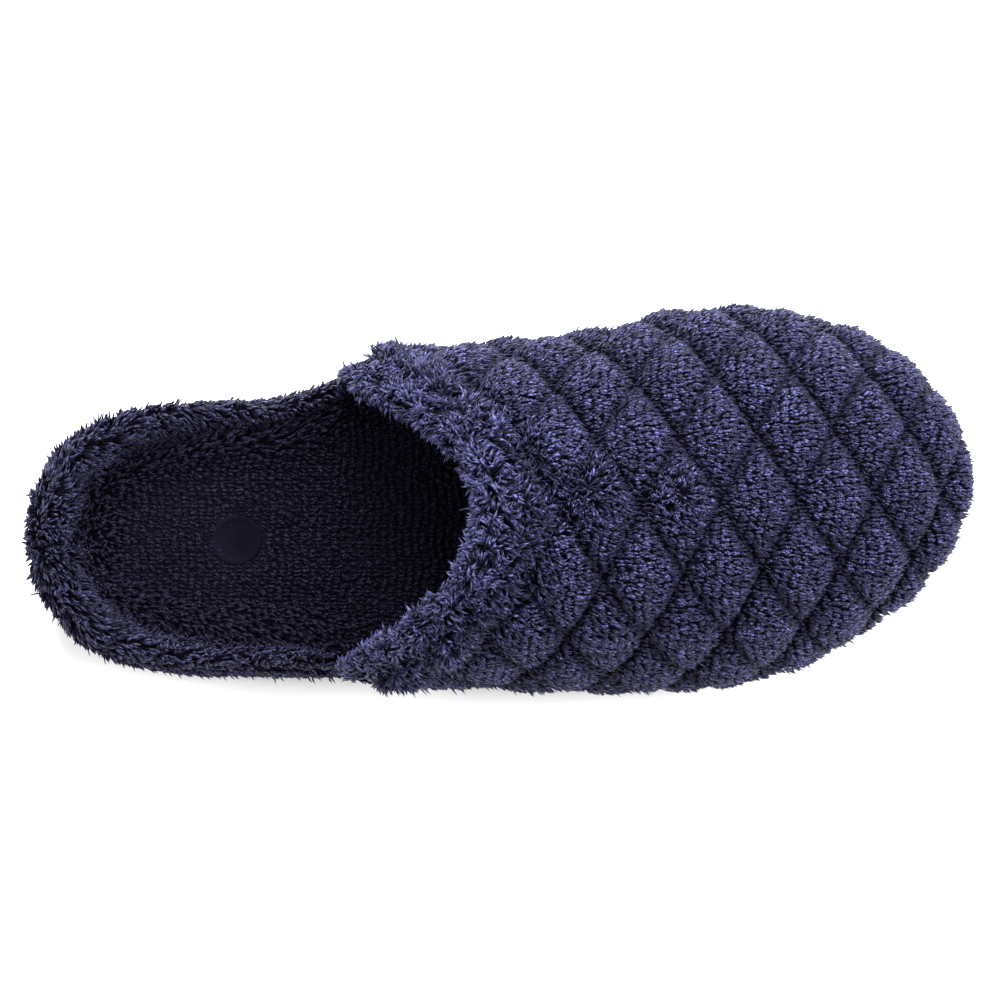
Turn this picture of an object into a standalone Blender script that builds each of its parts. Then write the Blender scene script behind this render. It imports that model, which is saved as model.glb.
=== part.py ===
"""Quilted terry clog slipper for the right foot.

Sizes are in millimetres and become metres when a mesh is made. +X points to the toe, +Y to the inner
side of the foot and +Z up. The floor is at zero. The tables count X from the middle of the length and
Y from the line through heel and toe, and MIDDLE moves the pieces so that their box lies over the origin.
"""

import math
from collections import namedtuple

import bmesh
import bpy
import numpy as np

MM = 0.001
NAME = "clog_slipper"

# Driving sizes
LENGTH = 270.0
MIDDLE = (1.55, 0.51)
GAP = 0.3
WALL = 7.0
OUTSOLE_THICKNESS = 4.5
OUTSOLE_STEP_IN = 1.8
OUTSOLE_ROUND = 1.5
PLATFORM_HEEL = 15.5
PLATFORM_FORE = 10.0
PLATFORM_ROUND = 2.5
INSOLE_THICKNESS = 5.0
INSOLE_ROUND = 1.6
INSOLE_DISH, INSOLE_SLOPE = 1.2, 11.0
INSOLE_CLEARANCE = 0.8

# Underside: lift of the heel edge, of the arch and of the toe, and where each starts along the length
HEEL_LIFT, HEEL_LIFT_END = 2.0, 0.055
ARCH_LIFT, ARCH_START, ARCH_END = 2.0, 0.31, 0.55
TOE_SPRING, TOE_SPRING_START = 8.0, 0.76

# Rim round the heel: its rise above the insole at the heel and at the sides, and its shape. Its crest
# lies near the outer face, and from there it slopes down to an inner edge just above the insole
RIM_RISE_HEEL, RIM_RISE_SIDE, RIM_RISE_EDGE = 13.0, 3.5, 0.8
RIM_HEEL_SPAN = (0.03, 0.24)
RIM_FOOT_TUCK = 1.6
RIM_SHOULDER = 0.55
RIM_CREST = 0.4

# Throat of the upper: where its ends and its tip lie along X, and how its edge sweeps up on each side
THROAT_END, THROAT_TIP = -48.0, -7.0
THROAT_SWEEP_INNER, THROAT_SWEEP_OUTER = 3.1, 2.05
BAND_WIDTH, BAND_PROUD, BAND_LIP = 12.0, 0.6, 0.4

# Upper: place of its ridge between the sides, fullness of its sections and tuck of its foot
RIDGE_SHARE = 0.47
FULLNESS = 2.15
FOOT_TUCK, FOOT_TUCK_HEIGHT = 3.0, 12.0

# Quilting: two families of stitch lines slanting either way across the upper, with each one's slant,
# repeat along the ridge and first line ahead of the middle
QUILT_LINES = ((-0.53, 23.4, 16.7), (0.60, 22.6, 16.1))
QUILT_DEPTH, QUILT_SHAPE, QUILT_FADE = 3.0, 0.65, 9.0

# Tread grooves across the flat stretches of the underside
GROOVE_WIDTH, GROOVE_DEPTH, GROOVE_PITCH = 2.0, 1.2, 11.0
GROOVE_ROWS = {"heel": (-112.0, 6), "forefoot": (16.0, 6)}

# Steps of the meshes
STATIONS = 40
UPPER_STEPS_LONG, UPPER_STEPS_ROUND = 46, 54
RIM_STEPS = 44
ARC_STEPS = 40

Plan = namedtuple("Plan", "along inner outer")
Crown = namedtuple("Crown", "along height")
Inset = namedtuple("Inset", "along platform rim lining")

# Outline seen from above: share of the length from the heel, then the inner and the outer side
PLAN = (
    Plan(0.00, -12.0, -12.0),
    Plan(0.02, 9.5, -31.5),
    Plan(0.07, 21.3, -45.4),
    Plan(0.15, 27.8, -50.8),
    Plan(0.28, 30.8, -51.2),
    Plan(0.36, 39.3, -53.6),
    Plan(0.50, 45.4, -55.2),
    Plan(0.60, 48.6, -56.0),
    Plan(0.68, 54.0, -55.6),
    Plan(0.76, 55.6, -53.4),
    Plan(0.84, 52.3, -45.9),
    Plan(0.92, 42.3, -32.4),
    Plan(0.98, 25.0, -13.6),
    Plan(1.00, 6.0, 6.0),
)

# Ridge of the upper above the floor. It meets the platform at the toe
CROWN = (
    Crown(0.30, 67.0),
    Crown(0.48, 70.0),
    Crown(0.58, 66.5),
    Crown(0.68, 61.0),
    Crown(0.78, 54.5),
    Crown(0.87, 47.5),
    Crown(0.94, 40.5),
    Crown(0.98, 33.5),
    Crown(1.00, 22.1),
)

# How far inside the outline the platform's side, the rim's outer face and the inner face of rim or
# upper lie. The rim overhangs the heel, the platform shows along the waist, the upper overhangs the front
INSETS = (
    Inset(0.00, 2.2, 0.0, 15.5),
    Inset(0.05, 2.0, 0.0, 15.0),
    Inset(0.13, 1.2, 0.6, 11.5),
    Inset(0.22, 0.2, 2.0, 8.8),
    Inset(0.30, 0.6, 2.2, 8.4),
    Inset(0.38, 4.4, 2.2, WALL),
    Inset(0.50, 3.4, 2.2, WALL),
    Inset(0.75, 3.2, 2.2, WALL),
    Inset(1.00, 3.2, 2.2, WALL),
)

NAVY_PLUSH = (0.026, 0.026, 0.062)
NAVY_PLUSH_DEEP = (0.016, 0.015, 0.036)
NAVY_RUBBER = (0.012, 0.012, 0.022)


def column(table, name):
    """One column of a table as an array."""
    return np.array([getattr(row, name) for row in table])


def ease(share):
    """Smooth step from 0 to 1."""
    t = np.clip(share, 0.0, 1.0)
    return t * t * (3.0 - 2.0 * t)


def smooth(places, values, at):
    """Cubic curve through a table's values, with the slope at each row taken from its neighbours."""
    slopes = np.gradient(values, places)
    row = np.clip(np.searchsorted(places, at) - 1, 0, len(places) - 2)
    span = places[row + 1] - places[row]
    t = np.clip((at - places[row]) / span, 0.0, 1.0)
    rise = values[row + 1] - values[row]
    start, end = slopes[row] * span, slopes[row + 1] * span
    return values[row] + t * (start + t * ((3 * rise - 2 * start - end) + t * (start + end - 2 * rise)))


def station(along):
    """Angle of a place along the length: even angles crowd the rows where the ends turn round."""
    return np.arccos(np.clip(1.0 - 2.0 * np.asarray(along, float), -1.0, 1.0))


def along_of(x):
    """Share of the length from the heel."""
    return np.clip(np.asarray(x, float) / LENGTH + 0.5, 0.0, 1.0)


def plan(angle):
    """X of a station, and Y of its inner and outer side."""
    angles = station(column(PLAN, "along"))
    inner = smooth(angles, column(PLAN, "inner"), angle)
    outer = smooth(angles, column(PLAN, "outer"), angle)
    return -0.5 * LENGTH * np.cos(angle), inner, outer


def floor_height(x):
    """Underside of the outsole: flat under heel and forefoot, lifted at heel edge, arch and toe."""
    a = along_of(x)
    heel = HEEL_LIFT * np.clip(1.0 - a / HEEL_LIFT_END, 0.0, 1.0) ** 2
    arch_share = np.clip((a - ARCH_START) / (ARCH_END - ARCH_START), 0.0, 1.0)
    arch = ARCH_LIFT * np.sin(math.pi * arch_share) ** 2
    toe = TOE_SPRING * np.clip((a - TOE_SPRING_START) / (1.0 - TOE_SPRING_START), 0.0, 1.0) ** 2
    return heel + arch + toe


def platform_bottom(x):
    return floor_height(x) + OUTSOLE_THICKNESS + GAP


def platform_top(x):
    """The platform is thick under the heel and thinner from the ball forward."""
    wedge = ease((0.55 - along_of(x)) / 0.35)
    return platform_bottom(x) + PLATFORM_FORE + (PLATFORM_HEEL - PLATFORM_FORE) * wedge


def insole_top(x):
    return platform_top(x) + GAP + INSOLE_THICKNESS


def rim_share(x):
    """1 at the back of the heel, 0 along the sides."""
    start, end = RIM_HEEL_SPAN
    return ease((end - along_of(x)) / (end - start))


def inset_of(name, x):
    """Inset of a piece's face from the outline at X."""
    return smooth(column(INSETS, "along"), column(INSETS, name), along_of(x))


def rim_top(x):
    return insole_top(x) + RIM_RISE_SIDE + (RIM_RISE_HEEL - RIM_RISE_SIDE) * rim_share(x)


def outline(inset):
    """Closed plan outline, from the heel along the inner side to the toe and back, moved inwards."""
    angle = np.linspace(0.0, math.pi, STATIONS + 1)
    x, inner, outer = plan(angle)
    forward = np.column_stack([x, inner])
    back = np.column_stack([x, outer])[-2:0:-1]
    points = np.vstack([forward, back])
    return points - normals_of(points) * np.reshape(inset, (-1, 1))


def normals_of(points, closed=True):
    """Outward normals of a plan path that runs clockwise."""
    if closed:
        tangent = np.roll(points, -1, axis=0) - np.roll(points, 1, axis=0)
    else:
        tangent = np.gradient(points, axis=0)
    tangent /= np.linalg.norm(tangent, axis=1, keepdims=True)
    return np.column_stack([-tangent[:, 1], tangent[:, 0]])


def ring(face, further, height):
    """Outline inside a piece's face by a further inset, lifted to a height given as a function of X."""
    points = outline(inset_of(face, outline(0.0)[:, 0]) + further)
    return np.column_stack([points, height(points[:, 0])])


def throat(theta):
    """X of the throat's edge at an angle round the section: 0 at the outer foot, pi at the inner."""
    sweep = np.where(theta < math.pi / 2, THROAT_SWEEP_OUTER, THROAT_SWEEP_INNER)
    return THROAT_END + (THROAT_TIP - THROAT_END) * np.sin(theta) ** sweep


def upper_skin(angle, theta):
    """Smooth outer surface of the upper at a station and an angle round its section."""
    x, inner, outer = plan(angle)
    foot = platform_top(x) + GAP
    crown = smooth(station(column(CROWN, "along")), column(CROWN, "height"), angle)
    ridge = outer + RIDGE_SHARE * (inner - outer)
    reach = np.where(theta < math.pi / 2, outer - ridge, inner - ridge)
    sideways = np.abs(np.cos(theta)) ** (2.0 / FULLNESS)
    upwards = np.abs(np.sin(theta)) ** (2.0 / FULLNESS)
    y = ridge + reach * sideways
    z = foot + np.maximum(crown - foot, 0.0) * upwards
    return np.stack(np.broadcast_arrays(x, y, z), axis=-1)


def upper_normals(angle, theta):
    """Outward normals of the upper's skin. They lie level at its feet and point forward at the toe."""
    step = 1e-3
    low, high = np.maximum(theta - step, 0.0), np.minimum(theta + step, math.pi)
    across = upper_skin(angle, high) - upper_skin(angle, low)
    along = upper_skin(np.minimum(angle + step, math.pi), theta) - upper_skin(angle - step, theta)
    normals = np.cross(along, across)
    normals[angle > math.pi - step] = (1.0, 0.0, 0.0)
    feet = (theta < step) | (theta > math.pi - step)
    normals[..., 2] = np.where(feet, 0.0, normals[..., 2])
    return normals / np.linalg.norm(normals, axis=-1, keepdims=True)


def ridge_cloth():
    """Places along X and the length of cloth along the ridge up to each, counted from the middle."""
    angle = np.linspace(station(along_of(THROAT_END)), math.pi, 20 * ARC_STEPS)
    places = -0.5 * LENGTH * np.cos(angle)
    crown = smooth(station(column(CROWN, "along")), column(CROWN, "height"), angle)
    run = np.concatenate([[0.0], np.cumsum(np.hypot(np.diff(places), np.diff(crown)))])
    return places, run - np.interp(0.0, places, run)


def upper_grid(steps_long, steps_round, start_shift):
    """Stations and angles of a grid that runs from the throat, moved forward, to the toe in even steps."""
    theta = np.linspace(0.0, math.pi, steps_round + 1)
    places, run = ridge_cloth()
    start = np.interp(throat(theta) + start_shift, places, run)
    share = np.linspace(0.0, 1.0, steps_long + 1)[:, None]
    x = np.interp(start + share * (run[-1] - start), run, places)
    return station(along_of(x)), np.broadcast_to(theta, x.shape)


def girth(angle, theta):
    """Length of cloth round the section from the ridge, towards the inner side."""
    share = np.linspace(0.0, 1.0, ARC_STEPS + 1).reshape(-1, 1, 1)
    path = upper_skin(angle[None], math.pi / 2 + share * (theta[None] - math.pi / 2))
    length = np.linalg.norm(np.diff(path, axis=0), axis=3).sum(axis=0)
    return np.where(theta < math.pi / 2, -length, length)


def quilting(angle, theta):
    """Depth of the cloth below the puffs: nothing in the middle of a diamond, most on a stitch line."""
    run = np.interp(upper_skin(angle, theta)[..., 0], *ridge_cloth())
    around = girth(angle, theta)
    puff = np.ones_like(run)
    for slant, repeat, first in QUILT_LINES:
        puff = puff * np.abs(np.sin(math.pi * (run + slant * around - first) / repeat))
    from_band = ease((run - run[0]) / QUILT_FADE)
    return QUILT_DEPTH * (1.0 - puff**QUILT_SHAPE) * (0.3 + 0.7 * from_band)


def foot_tuck(points):
    """How far the skin draws in towards the platform at its foot."""
    above = points[..., 2] - (platform_top(points[..., 0]) + GAP)
    return FOOT_TUCK * (1.0 - ease(above / FOOT_TUCK_HEIGHT))


def new_object(name, bm, colour, roughness):
    """Object from a bmesh in millimetres, with outward faces, smooth shading and its own material."""
    bmesh.ops.translate(bm, vec=(*MIDDLE, 0.0), verts=bm.verts)
    bmesh.ops.scale(bm, vec=(MM, MM, MM), verts=bm.verts)
    bmesh.ops.recalc_face_normals(bm, faces=bm.faces)
    mesh = bpy.data.meshes.new(name)
    bm.to_mesh(mesh)
    bm.free()
    mesh.shade_smooth()
    mesh.set_sharp_from_angle(angle=math.radians(40.0))
    mesh.materials.append(new_material(name, colour, roughness))
    obj = bpy.data.objects.new(name, mesh)
    bpy.data.collections[NAME].objects.link(obj)
    return obj


def new_material(name, colour, roughness):
    """Principled material in the piece's colour."""
    material = bpy.data.materials.new(name)
    material.use_nodes = True
    shader = material.node_tree.nodes["Principled BSDF"]
    shader.inputs["Base Color"].default_value = (*colour, 1.0)
    shader.inputs["Roughness"].default_value = roughness
    shader.inputs["Metallic"].default_value = 0.0
    return material


def add_row(bm, points):
    return [bm.verts.new(point) for point in points]


def join_rows(bm, first, second, closed):
    """Quads between two rows of vertices."""
    count = len(first)
    for i in range(count if closed else count - 1):
        k = (i + 1) % count
        bm.faces.new((first[i], first[k], second[k], second[i]))


def cap_ring(bm, row):
    """Fills an outline ring with strips from its inner to its outer side."""
    last = len(row)
    for i in range(STATIONS):
        corners = [row[i], row[i + 1], row[last - i - 1], row[(last - i) % last]]
        bm.faces.new(list(dict.fromkeys(corners)))


def slab(name, rings, colour, roughness):
    """Solid through closed rings, from the one that bounds its underside to the one on its top."""
    bm = bmesh.new()
    rows = [add_row(bm, points) for points in rings]
    for lower, higher in zip(rows, rows[1:]):
        join_rows(bm, lower, higher, closed=True)
    cap_ring(bm, rows[0])
    cap_ring(bm, rows[-1])
    return new_object(name, bm, colour, roughness)


def roll(name, loops, colour, roughness):
    """Solid through closed loops along an open path, with a face at each end."""
    bm = bmesh.new()
    rows = [add_row(bm, points) for points in loops]
    for one, other in zip(rows, rows[1:]):
        join_rows(bm, one, other, closed=True)
    bm.faces.new(rows[0])
    bm.faces.new(rows[-1])
    return new_object(name, bm, colour, roughness)


def make_outsole():
    """Rubber sole with a rounded lower edge and grooves across heel and forefoot."""
    def above_floor(lift):
        return lambda x: floor_height(x) + lift

    rings = (
        ring("platform", OUTSOLE_STEP_IN + OUTSOLE_ROUND, floor_height),
        ring("platform", OUTSOLE_STEP_IN + 0.3 * OUTSOLE_ROUND, above_floor(0.3 * OUTSOLE_ROUND)),
        ring("platform", OUTSOLE_STEP_IN, above_floor(OUTSOLE_ROUND)),
        ring("platform", OUTSOLE_STEP_IN, above_floor(OUTSOLE_THICKNESS)),
    )
    outsole = slab("outsole", rings, NAVY_RUBBER, 0.6)
    for row, (start, count) in GROOVE_ROWS.items():
        cut = outsole.modifiers.new(f"{row}_grooves", "BOOLEAN")
        cut.object = groove_cutter(row, start, count)
    return outsole


def groove_cutter(row, start, count):
    """A row of bars across the sole, one for each groove."""
    bpy.ops.mesh.primitive_cube_add(size=1.0, location=(start * MM, 0.0, 0.0))
    cutter = bpy.context.active_object
    cutter.name = f"{row}_groove_cutter"
    cutter.scale = (GROOVE_WIDTH * MM, LENGTH * MM, 2.0 * GROOVE_DEPTH * MM)
    bpy.ops.object.transform_apply(location=False, rotation=False, scale=True)
    array = cutter.modifiers.new("pitch", "ARRAY")
    array.count = count
    array.use_relative_offset = False
    array.use_constant_offset = True
    array.constant_offset_displace = (GROOVE_PITCH * MM, 0.0, 0.0)
    cutter.hide_render = True
    cutter.display_type = "WIRE"
    for holder in cutter.users_collection:
        holder.objects.unlink(cutter)
    bpy.data.collections["cutters"].objects.link(cutter)
    return cutter


def make_platform():
    """Foam platform wrapped in terry, with rounded edges."""
    def up(lift):
        return lambda x: platform_bottom(x) + lift

    def down(drop):
        return lambda x: platform_top(x) - drop

    soft = 0.3 * PLATFORM_ROUND
    rings = (
        ring("platform", PLATFORM_ROUND, platform_bottom),
        ring("platform", soft, up(soft)),
        ring("platform", 0.0, up(PLATFORM_ROUND)),
        ring("platform", 0.0, down(PLATFORM_ROUND)),
        ring("platform", soft, down(soft)),
        ring("platform", PLATFORM_ROUND, platform_top),
    )
    return slab("platform", rings, NAVY_PLUSH, 0.95)


def make_insole():
    """Padded insole, dished a little, lying inside the rim and the upper."""
    def bottom(x):
        return platform_top(x) + GAP

    def top(drop):
        return lambda x: insole_top(x) - drop

    rings = (
        ring("lining", INSOLE_CLEARANCE, bottom),
        ring("lining", INSOLE_CLEARANCE, top(INSOLE_ROUND)),
        ring("lining", INSOLE_CLEARANCE + 0.4 * INSOLE_ROUND, top(0.3 * INSOLE_ROUND)),
        ring("lining", INSOLE_CLEARANCE + 1.5 * INSOLE_ROUND, insole_top),
        ring("lining", INSOLE_CLEARANCE + INSOLE_SLOPE, top(INSOLE_DISH)),
    )
    return slab("insole", rings, NAVY_PLUSH_DEEP, 0.95)


def make_heel_rim():
    """Plush rim that stands round the heel and runs low along both sides to the upper."""
    front = station(along_of(THROAT_END - GAP))
    step = np.linspace(-1.0, 1.0, RIM_STEPS + 1)
    x, inner, outer = plan(front * np.abs(step))
    path = np.column_stack([x, np.where(step < 0.0, inner, outer)])
    normal = normals_of(path[::-1], closed=False)[::-1]
    foot, top = platform_top(x) + GAP, rim_top(x)
    face, lining = inset_of("rim", x), inset_of("lining", x)
    shoulder = foot + RIM_SHOULDER * (top - foot)
    profile = [(face + RIM_FOOT_TUCK, foot), (face + 0.25 * RIM_FOOT_TUCK, 0.5 * (foot + shoulder))]
    crest, edge = face + RIM_CREST * (lining - face), insole_top(x) + RIM_RISE_EDGE
    for turn in np.linspace(0.0, math.pi / 2, 4):
        across = crest - (crest - face) * math.cos(turn)
        profile.append((across, shoulder + (top - shoulder) * math.sin(turn)))
    for share in np.linspace(0.2, 1.0, 5):
        down = 0.5 - 0.5 * math.cos(math.pi * share)
        profile.append((crest + share * (lining - crest), top + down * (edge - top)))
    profile.append((lining, foot))
    loops = [np.column_stack([path - normal * inset[:, None], height]) for inset, height in profile]
    return roll("heel_rim", np.stack(loops, axis=1), NAVY_PLUSH, 0.95)


def make_upper():
    """Quilted shell from behind the throat band to the toe, open underneath and at the throat."""
    shift = BAND_WIDTH + GAP
    angle, theta = upper_grid(UPPER_STEPS_LONG, UPPER_STEPS_ROUND, shift)
    skin = upper_skin(angle, theta)
    tuck = foot_tuck(skin)
    sunk = tuck + quilting(angle, theta) * (1.0 - 0.6 * tuck / FOOT_TUCK)
    outside = skin - upper_normals(angle, theta) * sunk[..., None]
    coarse = upper_grid(UPPER_STEPS_LONG // 2, UPPER_STEPS_ROUND // 2, shift)
    inside = upper_skin(*coarse) - upper_normals(*coarse) * WALL
    bm = bmesh.new()
    outer_rows = shell_rows(bm, outside, sunk)
    inner_rows = shell_rows(bm, inside, np.zeros(inside.shape[:2]))
    join_shell(bm, outer_rows, inner_rows)
    return new_object("upper", bm, NAVY_PLUSH, 0.95)


def shell_rows(bm, points, sunk):
    """Vertices and faces of a grid whose last row is one point. Each fold follows the deeper corners."""
    rows = [add_row(bm, row) for row in points[:-1]]
    for i in range(len(rows) - 1):
        for j in range(len(rows[i]) - 1):
            a, b, c, d = rows[i][j], rows[i][j + 1], rows[i + 1][j + 1], rows[i + 1][j]
            if sunk[i, j] + sunk[i + 1, j + 1] > sunk[i, j + 1] + sunk[i + 1, j]:
                fold = ((a, b, c), (a, c, d))
            else:
                fold = ((a, b, d), (b, c, d))
            for corners in fold:
                bm.faces.new(corners)
    tip = bm.verts.new(points[-1, 0])
    for one, other in zip(rows[-1], rows[-1][1:]):
        bm.faces.new((one, other, tip))
    rows.append([tip] * len(rows[-1]))
    return rows


def join_shell(bm, outer_rows, inner_rows):
    """Closes a shell along its throat and both feet. The outside has two steps for each one inside."""
    def edge(rows, side):
        return [row[side] for row in rows]

    seams = ((outer_rows[0], inner_rows[0]), (edge(outer_rows, 0), edge(inner_rows, 0)))
    seams += ((edge(outer_rows, -1), edge(inner_rows, -1)),)
    for fine, coarse in seams:
        for i in range(len(coarse) - 1):
            bm.faces.new((*fine[2 * i : 2 * i + 3], coarse[i + 1], coarse[i]))


def make_throat_band():
    """Plush band along the throat, a little thicker than the upper, with a rounded lip."""
    middle, half = 0.5 * (WALL - BAND_PROUD), 0.5 * (WALL + BAND_PROUD)
    loop = [(1.0, middle - half), (0.65, middle - half)]
    for turn in np.linspace(-math.pi / 2, math.pi / 2, 7):
        loop.append((BAND_LIP * (1.0 - math.cos(turn)), middle + half * math.sin(turn)))
    loop += [(0.65, middle + half), (1.0, middle + half)]
    rows = []
    for share, depth in loop:
        angle, theta = upper_grid(1, UPPER_STEPS_ROUND, share * BAND_WIDTH)
        skin = upper_skin(angle[0], theta[0])
        sunk = np.maximum(depth, foot_tuck(skin) - BAND_PROUD)
        rows.append(skin - upper_normals(angle[0], theta[0]) * sunk[:, None])
    return roll("throat_band", np.stack(rows, axis=1), NAVY_PLUSH, 0.95)


def clear_scene():
    for obj in list(bpy.data.objects):
        bpy.data.objects.remove(obj)


def main():
    clear_scene()
    for name in (NAME, "cutters"):
        bpy.context.scene.collection.children.link(bpy.data.collections.new(name))
    for make in (make_outsole, make_platform, make_insole, make_heel_rim, make_upper, make_throat_band):
        make()


main()
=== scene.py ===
"""Quilted plush clog slipper for the right foot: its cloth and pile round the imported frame, in a studio.

Sizes are in millimetres until a mesh is made. +X points to the toe, +Y to the inner side of the foot and
+Z up. The tables count X from the middle of the length and Y from the line through heel and toe.
"""

import logging
import math
from dataclasses import dataclass, field
from enum import Enum
from typing import Callable, NamedTuple

import bpy
import numpy as np
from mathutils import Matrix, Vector, noise

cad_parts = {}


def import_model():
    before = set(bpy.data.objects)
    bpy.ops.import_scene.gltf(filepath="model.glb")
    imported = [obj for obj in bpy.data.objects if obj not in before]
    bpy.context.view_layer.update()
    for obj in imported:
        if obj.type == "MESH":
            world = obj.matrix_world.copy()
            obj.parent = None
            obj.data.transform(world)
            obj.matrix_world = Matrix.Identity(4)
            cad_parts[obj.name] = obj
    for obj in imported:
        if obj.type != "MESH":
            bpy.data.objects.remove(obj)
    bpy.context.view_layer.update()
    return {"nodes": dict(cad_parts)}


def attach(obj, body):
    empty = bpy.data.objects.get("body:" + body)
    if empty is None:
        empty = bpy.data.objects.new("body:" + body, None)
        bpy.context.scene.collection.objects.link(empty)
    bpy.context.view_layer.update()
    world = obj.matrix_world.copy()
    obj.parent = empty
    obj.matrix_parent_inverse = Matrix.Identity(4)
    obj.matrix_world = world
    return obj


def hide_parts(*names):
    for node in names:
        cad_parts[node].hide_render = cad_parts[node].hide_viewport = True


LOG = logging.getLogger("clog_slipper")
MM = 0.001
PI = math.pi
BODY = "root"
PILE_MAP = "OFBake"
STAGGER_STEP = 12.9898
# A line of cloth with less slope than FLAT counts as STILL: it draws no root along.
FLAT, STILL = 1e-3, 1e9
Array = np.ndarray
Colour = tuple[float, float, float]
Place = tuple[float, float, float]
Height = Callable[[Array], Array]
Object = bpy.types.Object
Material = bpy.types.Material
Node = bpy.types.Node
Socket = bpy.types.NodeSocket
Outputs = bpy.types.NodeOutputs


class Foot(Enum):
    """Sides of the foot."""

    INNER = "inner"
    OUTER = "outer"


class InsetTable(NamedTuple):
    """How far inside the outline the platform's side, the rim's face and the lining lie."""

    along: Array
    platform: Array
    rim: Array
    lining: Array


class QuiltRow(NamedTuple):
    """A family of stitch lines: its slant, its repeat along the ridge and its first line."""

    slant: float
    repeat: float
    first: float


class RuffleRow(NamedTuple):
    """A spot where the pile is ruffled: its middle, its reach and how much."""

    x: float
    y: float
    reach: float
    amount: float


WALL = 7.0

# Outline seen from above: share of the length from the heel, then Y of the inner and outer side.
PLAN = np.transpose((
    (0.00, -12.0, -12.0), (0.02, 9.5, -31.5), (0.07, 21.3, -45.4), (0.15, 27.8, -50.8),
    (0.28, 30.8, -51.2), (0.36, 39.3, -53.6), (0.50, 45.4, -55.2), (0.60, 48.6, -56.0),
    (0.68, 54.0, -55.6), (0.76, 55.6, -53.4), (0.84, 52.3, -45.9), (0.92, 42.3, -32.4),
    (0.98, 25.0, -13.6), (1.00, 6.0, 6.0),
))
# Share of the length, and height of the upper's ridge above the floor.
CROWN = np.transpose((
    (0.30, 67.0), (0.48, 70.0), (0.58, 66.5), (0.68, 61.0), (0.78, 54.5),
    (0.87, 47.5), (0.94, 40.5), (0.98, 33.5), (1.00, 22.1),
))
INSETS = InsetTable(*np.transpose((
    (0.00, 2.2, 0.0, 15.5), (0.05, 2.0, 0.0, 15.0), (0.13, 1.2, 0.6, 11.5),
    (0.22, 0.2, 2.0, 8.8), (0.30, 0.6, 2.2, 8.4), (0.38, 4.4, 2.2, WALL),
    (0.50, 3.4, 2.2, WALL), (0.75, 3.2, 2.2, WALL), (1.00, 3.2, 2.2, WALL),
)))
QUILT = (QuiltRow(-0.53, 23.4, 16.7), QuiltRow(0.60, 22.6, 16.1))
RUFFLES = (
    RuffleRow(26.0, -1.0, 15.0, 1.0),
    RuffleRow(4.0, 4.0, 14.0, 1.0),
    RuffleRow(51.0, -2.5, 10.0, 0.9),
    RuffleRow(-14.0, 24.0, 13.0, 0.7),
)


def ease(share: Array) -> Array:
    """Smooth step from 0 to 1."""
    t = np.clip(share, 0.0, 1.0)
    return t * t * (3.0 - 2.0 * t)


def unit(vectors: Array) -> Array:
    """Vectors of length 1 along the last axis."""
    return vectors / np.maximum(np.linalg.norm(vectors, axis=-1, keepdims=True), 1e-9)


def smooth(places: Array, values: Array, at: Array) -> Array:
    """Cubic curve through a table's values.

    Args:
        places: Where the rows lie.
        values: What they hold.
        at: Where the curve is read.

    Returns:
        The curve's values, with the slope at each row taken from its neighbours.
    """
    slopes = np.gradient(values, places)
    row = np.clip(np.searchsorted(places, at) - 1, 0, len(places) - 2)
    span = places[row + 1] - places[row]
    t = np.clip((at - places[row]) / span, 0.0, 1.0)
    rise = values[row + 1] - values[row]
    start, end = slopes[row] * span, slopes[row + 1] * span
    return values[row] + t * (start + t * ((3 * rise - 2 * start - end) + t * (start + end - 2 * rise)))


def outward(tangents: Array) -> Array:
    """Outward normals of a plan path that runs clockwise, from its tangents."""
    tangents = unit(tangents)
    return np.column_stack([-tangents[:, 1], tangents[:, 0]])


def patches(points: Array, size: float) -> Array:
    """Soft random patches over a grid of points, from about -0.7 to 0.7."""
    values = [noise.noise(Vector(p / size)) for p in points.reshape(-1, 3)]
    return np.array(values).reshape(points.shape[:-1])


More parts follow.
